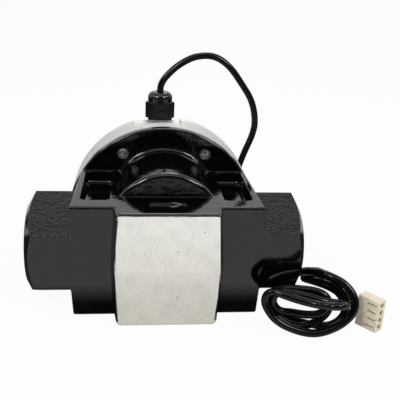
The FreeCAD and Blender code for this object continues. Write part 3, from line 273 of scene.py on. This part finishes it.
def paint(name, waves_depth, cast_depth, rough, cast_size=1.1, soften=0.9, lean=0.0):
    """Gloss black enamel on a casting: deep black, soft over the edges, with the casting's waves and grit.

    A lean in degrees tilts the shading back, as a relief that falls with the height.
    """
    material, tree, shader, place = new_material(name)
    waves = grain(tree, place, 5.0)
    grit = grain(tree, place, cast_size, detail=4.0)
    peel = grain(tree, place, 0.5)
    tree.links.new(ramp(tree, waves, [(0.3, "#010102"), (0.7, "#040405")]), shader.inputs["Base Color"])
    tree.links.new(span(tree, grit, *rough), shader.inputs["Roughness"])
    below = add(tree, "ShaderNodeBevel", {"Radius": soften * MM}, samples=6).outputs[0]
    if lean:
        inputs = {"Value": height_of(tree, place), "From Max": LEAN_HEIGHT * MM, "To Min": 1.0, "To Max": 0.0}
        falling = add(tree, "ShaderNodeMapRange", inputs).outputs[0]
        below = bump(tree, shader, falling, LEAN_HEIGHT * math.tan(math.radians(lean)), below)
    below = bump(tree, shader, waves, waves_depth, below)
    below = bump(tree, shader, grit, cast_depth, below)
    bump(tree, shader, peel, 0.004, below)
    return material


def milled_pad():
    """Milled aluminium left bare: pale and matt, with smudges, a fine grain and dark pits, and painted shade
    that makes it greyer below.
    """
    pad_top = 64.0
    material, tree, shader, place = new_material("milled_bare_aluminium")
    smudge = grain(tree, place, 9.0, detail=5.0)
    fine = grain(tree, place, 0.45, detail=3.0)
    pits = grain(tree, place, 2.2, detail=3.0)
    colour = ramp(tree, smudge, [(0.30, "#dad9d3"), (0.50, "#e2e1db"), (0.75, "#e8e7e1")])
    speck = ramp(tree, fine, [(0.30, "#eae9e7"), (0.55, "#ffffff")])
    pitted = ramp(tree, pits, [(0.25, "#8f8d89"), (0.29, "#ffffff")])
    # Painted shade: the colour grows greyer towards the bottom, as if less light from above reaches the lower
    # part
    lower = edge(tree, height_of(tree, place), (pad_top * MM, 0.0), (0.0, 1.0))
    painted_shade_below = mix(tree, lower, linear("#ffffff"), linear("#e6e3de"))
    for layer in (speck, pitted, painted_shade_below):
        colour = mix(tree, 1.0, colour, layer, "MULTIPLY")
    tree.links.new(colour, shader.inputs["Base Color"])
    tree.links.new(span(tree, fine, 0.5, 0.7), shader.inputs["Roughness"])
    bump(tree, shader, fine, 0.02)
    return material


def faced_aluminium():
    """An aluminium face turned flat: fine rings about the chamber's centre that catch the light."""
    ring_width = 0.5
    material, tree, shader, place = new_material("faced_aluminium")
    centre = (0, 0, -CHAMBER_HEIGHT * MM)
    centred = add(tree, "ShaderNodeVectorMath", {0: place, 1: centre}, operation="ADD").outputs[0]
    flat = add(tree, "ShaderNodeVectorMath", {0: centred, 1: (1, 0, 1)}, operation="MULTIPLY").outputs[0]
    radius = add(tree, "ShaderNodeVectorMath", {0: flat}, operation="LENGTH").outputs["Value"]
    turns = add(tree, "ShaderNodeTexNoise", {"W": radius, "Scale": 1 / (ring_width * MM), "Detail": 2.0},
                noise_dimensions="1D").outputs["Fac"]
    cloud = grain(tree, place, 14.0, detail=3.0)
    tree.links.new(ramp(tree, cloud, [(0.3, "#c6c6c4"), (0.7, "#dededc")]), shader.inputs["Base Color"])
    tree.links.new(span(tree, turns, 0.36, 0.5), shader.inputs["Roughness"])
    shader.inputs["Metallic"].default_value = 1.0
    bump(tree, shader, turns, 0.006)
    return material


STEEL_TONES = [(0.2, "#a9a9ab"), (0.8, "#c8c8ca")]


def cross_recessed_steel_with_painted_shade():
    """The cap screws' steel with painted shade: a dark cross in the middle of each head, standing in for the
    shade inside a cross recess.
    """
    screw_circle, half_width, half_length = 27.2, 0.42, 1.7
    material, tree, shader, place = new_material("cross_recessed_steel_with_painted_shade")

    def sums(operation, first, second=0.0):
        return add(tree, "ShaderNodeMath", {0: first, 1: second}, operation=operation).outputs[0]

    def off_centre(value):
        return sums("ABSOLUTE", sums("SUBTRACT", sums("ABSOLUTE", value), reach))

    parts = add(tree, "ShaderNodeSeparateXYZ", {0: place}).outputs
    reach = screw_circle * math.sqrt(0.5) * MM
    first = off_centre(parts["X"])
    second = off_centre(sums("SUBTRACT", parts["Z"], CHAMBER_HEIGHT * MM))
    narrow = sums("LESS_THAN", sums("MINIMUM", first, second), half_width * MM)
    short = sums("LESS_THAN", sums("MAXIMUM", first, second), half_length * MM)
    recess = sums("MULTIPLY", narrow, short)
    value = grain(tree, place, 1.2)
    # Painted shade: the cross is coloured dark where the recess would lie in shade
    colour = mix(tree, recess, ramp(tree, value, STEEL_TONES), linear("#1c1c1d"))
    tree.links.new(colour, shader.inputs["Base Color"])
    tree.links.new(span(tree, value, 0.2, 0.35), shader.inputs["Roughness"])
    shader.inputs["Metallic"].default_value = 1.0
    return material


# Dressed flats: still, even reflections
smooth_paint = paint("gloss_black_enamel_smooth", 0.03, 0.003, (0.05, 0.12))
# Cast skin: reflections that waver a little
cast_paint = paint("gloss_black_enamel_on_cast_skin", 0.12, 0.015, (0.04, 0.1))
# Sand grain on the ports' upper slopes: a mottled sparkle
sand_paint = paint("gloss_black_enamel_on_sand_grain", 0.3, 0.42, (0.05, 0.12), 1.5)
# Raised line of the arrow: a thin sharp gleam
line_paint = paint("gloss_black_enamel_on_raised_line", 0.02, 0.003, (0.04, 0.08), soften=0.1)
# Face of the boss: leans back, so it mirrors the grey far floor
boss_paint = paint("gloss_black_enamel_on_leaning_face", 0.1, 0.015, (0.04, 0.1), lean=7.0)
pad_material = milled_pad()
faced_material = faced_aluminium()
# Turned ring: bright aluminium with fine marks round it
turned_material = plain("turned_aluminium", [(0.2, "#bcbcb9"), (0.8, "#dcdcd9")], 1.0, (0.35, 0.5), 0.006,
                        0.35, stretch=(40, 0.35, 40))
# Drilled through the paint: warm bare metal, darker and rough
drilled_material = plain("drilled_bare_aluminium", [(0.3, "#6b665f"), (0.7, "#99948d")], 0.8, (0.3, 0.45), 0.05,
                         0.6)
# Screws as rolled: dull zinc with uneven bright spots
rolled_material = plain("rolled_zinc_screw", [(0.4, "#6f6d6b"), (0.6, "#d4d3d1")], 1.6, (0.3, 0.45), 0.3, 0.8)
# Zinc plate: a soft grey shine
steel_material = plain("bright_zinc_steel", STEEL_TONES, 1.2, (0.4, 0.55), 0.004, 1.0)
# Gland and cap: black with soft broad highlights
nylon_material = plain("satin_black_nylon", [(0.2, "#020203"), (0.8, "#050506")], 0.5, (0.15, 0.21), 0.003)
# Cable: black with a long soft gleam, fainter than the paint's
sheath_material = plain("black_cable_sheath", [(0.2, "#010102"), (0.8, "#040405")], 1.5, (0.17, 0.22), 0.0008,
                        shine=0.25)
# Seals: dull, dusty black
rubber_material = plain("black_seal_rubber", [(0.2, "#141414"), (0.8, "#1e1e1e")], 0.6, (0.6, 0.8), 0.01)
# Connector: warm ivory with faint clouds
ivory_material = plain("natural_nylon", [(0.2, "#dfd2b7"), (0.8, "#eee4cd")], 2.5, (0.35, 0.5), 0.01)
# Gears: pale moulding with faint flow marks
gear_material = plain("moulded_gear_plastic", [(0.2, "#d8d2c2"), (0.8, "#e6e1d4")], 2.0, (0.35, 0.5), 0.008)
# Bushes: dull charcoal
bush_material = plain("carbon_bush", [(0.2, "#1a1a1b"), (0.8, "#2a2a2c")], 0.7, (0.4, 0.55), 0.006)
# Magnets: bright nickel with a warm tinge
magnet_material = plain("nickel_plated_magnet", [(0.2, "#8f8e8b"), (0.8, "#a5a4a0")], 1.0, (0.15, 0.25), 0.003,
                        1.0)
# Board: green lacquer with the weave's faint mottle
board_material = plain("green_board_laminate", [(0.45, "#0d4a22"), (0.55, "#17662f")], 1.5, (0.3, 0.45), 0.01)
# Spacers: yellow metal with a mild shine
brass_material = plain("turned_brass", [(0.2, "#b08d45"), (0.8, "#c9a75c")], 0.8, (0.22, 0.34), 0.004, 1.0)
# Contacts: pale yellowish metal
tin_material = plain("tin_plated_contact", [(0.2, "#b3a67e"), (0.8, "#cbbf98")], 0.8, (0.25, 0.4), 0.004, 1.0)
# Inner wires: dark red plastic
wire_material = plain("coloured_wire_sheath", [(0.3, "#7a1712"), (0.7, "#8c2018")], 0.9, (0.3, 0.4), 0.004)

FINISHES = {
    "black_paint": cast_paint, "bare_aluminium": turned_material, "steel": steel_material,
    "black_nylon": nylon_material, "cable_sheath": sheath_material, "seal_rubber": rubber_material,
    "ivory_nylon": ivory_material, "gear_plastic": gear_material, "bush_carbon": bush_material,
    "magnet": magnet_material, "board_laminate": board_material, "brass": brass_material,
    "contact_brass": tin_material, "wire_sheath": wire_material, "sensor_plastic": nylon_material,
}
for part in frame["record"]["subparts"]:
    node_mesh = NODES[part["node"]].data
    node_mesh.materials.clear()
    node_mesh.materials.append(FINISHES[part["material_slot"]])
cable.data.materials.append(sheath_material)
NODES["chamber_cover"].data.materials[0] = faced_material
NODES["body_screws"].data.materials[0] = rolled_material


# Finishes that differ within one node

def face_facts(mesh, fact):
    """One row of three numbers for each face of the mesh: its centre or its normal."""
    values = np.empty(len(mesh.polygons) * 3)
    mesh.polygons.foreach_get(fact, values)
    return values.reshape(-1, 3)


def casting_faces():
    """Finishes of the casting's faces, chosen by where they lie and how they face.

    Flats at the front take the smooth paint, the ports' upper slopes the sand grain, the boss's face the
    leaning paint, the pad's front and lower edge the milled finish, the screw mouths bare metal, and the back
    of the flange the faced finish.
    """
    pad_front, pad_corner, corner_top = -36.0, 0.8, 3.2
    screw_aside, screw_height, mouth_radius, mouth_depth = 25.0, 76.8, 3.4, 2.0
    port_root, boss_aside, boss_back, tiny = 50.0, 40.0, 20.0, 0.02
    mesh = NODES["body_casting"].data
    extra = [smooth_paint, pad_material, sand_paint, drilled_material, faced_material, boss_paint]
    for material in extra:
        mesh.materials.append(material)
    x, y, z = face_facts(mesh, "center").T / MM
    normals = face_facts(mesh, "normal")
    ahead, upward = -normals[:, 1], normals[:, 2]
    in_mouth = np.hypot(abs(x) - screw_aside, z - screw_height) < mouth_radius
    lower_edge = (y < pad_front + pad_corner) & (ahead > 0.1) & (z < corner_top)
    wanted = [
        (in_mouth & (y > FLANGE_FRONT + tiny) & (y < FLANGE_FRONT + mouth_depth), drilled_material),
        ((y < pad_front) & (ahead > 0.97) | lower_edge, pad_material),
        ((ahead > 0.95) & (z > BLOCK_TOP - 0.4) & (y < boss_back) & (abs(x) < boss_aside), boss_paint),
        ((ahead > 0.99) & (y > pad_front) & (y < 0), smooth_paint),
        ((abs(x) > port_root) & (upward > 0.8) & (upward < 0.93), sand_paint),
        ((ahead < -0.99) & (y > FLANGE_BACK - 0.1), faced_material),
    ]
    slots = [1 + extra.index(material) for _, material in wanted]
    index = np.select([faces for faces, _ in wanted], slots, 0)
    mesh.polygons.foreach_set("material_index", index.astype(np.int32))


def wire_colours():
    """Each connector wire takes its own colour, found by the straight line from the cable to its cell."""
    tip, inward, sideways = np.array([116.6, -45.9, 0.0]), np.array([0.6, -0.8, 0]), np.array([0.8, 0.6, 0])
    wires_start, wires_length, spread, cable_height = -20.7, 8.4, 0.7, 9.4
    mesh = NODES["connector_wires"].data
    mesh.materials.clear()
    for colour, dark, pale in (("red", "#7a1712", "#8c2018"), ("black", "#0b0b0c", "#151516"),
                               ("yellow", "#a98a1c", "#bd9d2a"), ("green", "#17502a", "#1f6436")):
        stops = [(0.3, dark), (0.7, pale)]
        mesh.materials.append(plain(colour + "_wire_sheath", stops, 0.9, (0.28, 0.4), 0.004))
    offset = face_facts(mesh, "center") / MM - tip
    along, across, height = offset @ inward, offset @ sideways, offset[:, 2]
    share = np.clip((along - wires_start) / wires_length, 0, 1)
    far = []
    for way, cell in enumerate((2.8, 7.2, 11.6, 16.0)):
        aside = (spread if way % 2 else -spread) * (1 - share)
        start = cable_height + (spread if way > 1 else -spread)
        far.append(np.hypot(across - aside, height - start - (cell - start) * share))
    mesh.polygons.foreach_set("material_index", np.argmin(far, axis=0).astype(np.int32))


casting_faces()
wire_colours()
NODES["cap_screws"].data.materials[0] = cross_recessed_steel_with_painted_shade()


# Pieces that only the looks need

def sheet(name, points, material):
    """A quad surface through a grid of points in millimetres, closed in the direction of its rows."""
    rows, columns = points.shape[:2]
    row, column = np.meshgrid(np.arange(rows), np.arange(columns - 1), indexing="ij")
    ahead = (row + 1) % rows
    quads = np.stack([row * columns + column, ahead * columns + column,
                      ahead * columns + column + 1, row * columns + column + 1], axis=-1).reshape(-1, 4)
    mesh = bpy.data.meshes.new(name)
    mesh.from_pydata((points.reshape(-1, 3) * MM).tolist(), [], quads.tolist())
    mesh.polygons.foreach_set("use_smooth", np.ones(len(mesh.polygons), dtype=bool))
    mesh.materials.append(material)
    piece = bpy.data.objects.new(name, mesh)
    bpy.context.scene.collection.objects.link(piece)
    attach(piece, "meter")
    return piece


def port_thread(name, side):
    """A pipe thread in one port: inside the bore, with a rounded ridge once per pitch along a helix."""
    pitch, bore, ridge, first, last, run_in = 2.31, 15.05, 1.0, 0.9, 19.4, 2.4
    turn = 2 * np.pi
    round_it, along = np.linspace(0, turn, 96, endpoint=False), np.linspace(first, last, 113)
    angle, depth = np.meshgrid(round_it, along, indexing="ij")
    phase = turn * (depth / pitch + angle / turn)
    rise = (0.5 + 0.5 * np.cos(phase)) ** 0.8 * np.clip(depth / run_in, 0, 1)
    radius = bore - ridge * rise
    height = PORT_HEIGHT + side * radius * np.sin(angle)
    points = np.stack([side * (PORT_END - depth), radius * np.cos(angle), height], axis=-1)
    sheet(name, points[::-1], turned_material)


def flow_arrow():
    """The arrow's raised line with a rounded back: half an ellipse along the outline, its corners eased."""
    half, tip, head, wing, shaft, ease = 9.4, 8.75, 1.3, 3.2, 1.35, 0.45
    line_width, line_height, arrow_y, base = 0.62, 0.72, -23.5, BLOCK_TOP - 0.05
    plan = np.array([(-half, -shaft), (head, -shaft), (head, -wing), (tip, 0), (head, wing), (head, shaft),
                     (-half, shaft)])
    before = np.roll(plan, 1, axis=0) - plan
    after = np.roll(plan, -1, axis=0) - plan
    start = plan + ease * before / np.linalg.norm(before, axis=1, keepdims=True)
    end = plan + ease * after / np.linalg.norm(after, axis=1, keepdims=True)
    share = np.linspace(0, 1, 6)[None, :, None]
    path = (1 - share) ** 2 * start[:, None] + 2 * share * (1 - share) * plan[:, None]
    path = (path + share ** 2 * end[:, None]).reshape(-1, 2)
    way = np.roll(path, -1, axis=0) - np.roll(path, 1, axis=0)
    way /= np.linalg.norm(way, axis=1, keepdims=True)
    side = np.stack([way[:, 1], -way[:, 0]], axis=1)
    turn = np.linspace(0, np.pi, 13)
    plane = path[:, None] + line_width * np.cos(turn)[None, :, None] * side[:, None]
    height = np.broadcast_to(base + line_height * np.sin(turn), plane.shape[:2])
    points = np.concatenate([plane + np.array([0.0, arrow_y]), height[..., None]], axis=-1)
    sheet("flow_arrow_ridge", points, line_paint)


port_thread("inlet_thread", -1)
port_thread("outlet_thread", 1)
flow_arrow()


# Stage and light, in metres

FLOOR_REACH = 6.0
FLOOR_COLOUR = "#e7e7e7"
WHITE_SHARE = 0.95
# What glossy surfaces mirror of the floor: a level close round the meter, then where each next level begins
# along Y, toward the camera: bright in front, dark about the camera, grey further off
NEAR_LEVEL = 0.04
FRONT_BANDS = (((-0.040, -0.068), 1.0), ((-0.285, -0.305), 0.02), ((-0.6, -0.7), 0.6))
BACK_START, BACK_LEVEL, BACK_ASIDE = (0.1, 0.13), 0.85, (0.24, 0.3)
# Name, place, height it is aimed at, side of the square and power of each lamp
SOFTBOXES = (
    ("left_softbox", (-0.55, -0.65, 0.75), 0.04, 0.27, 4.7),
    ("right_softbox", (0.6, -0.6, 0.7), 0.04, 0.27, 4.2),
    ("back_softbox", (0.1, 0.9, 0.8), 0.05, 0.33, 1.6),
    ("left_side_softbox", (-0.9, -0.15, 0.8), 0.04, 0.17, 1.7),
    ("right_side_softbox", (0.9, -0.15, 0.8), 0.04, 0.17, 1.7),
)


def floor_finish():
    """A pale matt floor that the camera sees as nearly white, with the object's shadow.

    Glossy surfaces mirror it dark close round the meter, bright in front and behind, dark about the camera
    and grey further off, as the photograph's reflections show.
    """
    material = bpy.data.materials.new("white_floor")
    material.use_nodes = True
    tree = material.node_tree
    tree.nodes.clear()
    rays = add(tree, "ShaderNodeLightPath").outputs
    place = add(tree, "ShaderNodeTexCoord").outputs["Object"]
    across, along = add(tree, "ShaderNodeSeparateXYZ", {0: place}).outputs[:2]
    aside = add(tree, "ShaderNodeMath", {0: across}, operation="ABSOLUTE").outputs[0]
    shade = NEAR_LEVEL
    for where, level in FRONT_BANDS:
        shade = edge(tree, along, where, (shade, level))
    behind = edge(tree, aside, BACK_ASIDE, (BACK_LEVEL, NEAR_LEVEL))
    shade = edge(tree, along, BACK_START, (shade, behind))
    mirrored = add(tree, "ShaderNodeEmission", {"Strength": shade}).outputs[0]
    matte = add(tree, "ShaderNodeBsdfDiffuse", {"Color": linear(FLOOR_COLOUR)}).outputs[0]
    white = add(tree, "ShaderNodeEmission", {"Strength": 1.0}).outputs[0]
    camera_ray = rays["Is Camera Ray"]
    share = add(tree, "ShaderNodeMath", {0: camera_ray, 1: WHITE_SHARE}, operation="MULTIPLY").outputs[0]
    seen = add(tree, "ShaderNodeMixShader", {0: share, 1: matte, 2: white}).outputs[0]
    both = add(tree, "ShaderNodeMixShader", {0: rays["Is Glossy Ray"], 1: seen, 2: mirrored}).outputs[0]
    add(tree, "ShaderNodeOutputMaterial", {"Surface": both})
    return material


def white_floor():
    """The flat floor under the meter."""
    r = FLOOR_REACH
    mesh = bpy.data.meshes.new("floor")
    mesh.from_pydata([(-r, -r, 0), (r, -r, 0), (r, r, 0), (-r, r, 0)], [], [(0, 1, 2, 3)])
    mesh.materials.append(floor_finish())
    floor = bpy.data.objects.new("floor", mesh)
    bpy.context.scene.collection.objects.link(floor)


def white_surround():
    """A white surround, dimmer as light.

    Glossy surfaces mirror it dark to the front and white to the back, with a bright panel overhead and a
    strip light high in front.
    """
    world = bpy.data.worlds.new("white_surround")
    bpy.context.scene.world = world
    world.use_nodes = True
    tree = world.node_tree
    rays = add(tree, "ShaderNodeLightPath").outputs
    place = add(tree, "ShaderNodeTexCoord").outputs["Generated"]
    way = add(tree, "ShaderNodeSeparateXYZ", {0: place}).outputs
    dark_front, white_back, dim_panel, bright_panel = 0.06, 0.85, 0.3, 2.0
    strip_light, seen, as_light = 3.0, 1.0, 0.3
    room = edge(tree, way["Y"], (-0.25, 0.15), (dark_front, white_back))
    panel = edge(tree, way["Y"], (0.06, 0.24), (dim_panel, bright_panel))
    room = edge(tree, way["Z"], (0.9, 0.96), (room, panel))
    strip = edge(tree, way["Y"], (-0.62, -0.5), (room, strip_light))
    strip = edge(tree, way["Y"], (-0.38, -0.28), (strip, room))
    room = edge(tree, way["Z"], (0.68, 0.76), (room, strip))
    level = edge(tree, rays["Is Diffuse Ray"], (0, 1), (seen, as_light))
    level = edge(tree, rays["Is Glossy Ray"], (0, 1), (level, room))
    tree.nodes["Background"].inputs["Color"].default_value = linear("#ffffff")
    tree.links.new(level, tree.nodes["Background"].inputs["Strength"])


def softboxes():
    """Five square soft lamps round the meter: two in front, one behind and one on each side."""
    for name, place, aim_height, size, power in SOFTBOXES:
        data = bpy.data.lights.new(name, "AREA")
        data.size = size
        data.energy = power
        lamp = bpy.data.objects.new(name, data)
        lamp.location = place
        toward = Vector((0, 0, aim_height)) - Vector(place)
        lamp.rotation_euler = toward.to_track_quat("-Z", "Y").to_euler()
        bpy.context.scene.collection.objects.link(lamp)


white_floor()
white_surround()
softboxes()
bpy.context.scene.view_settings.view_transform = "Standard"
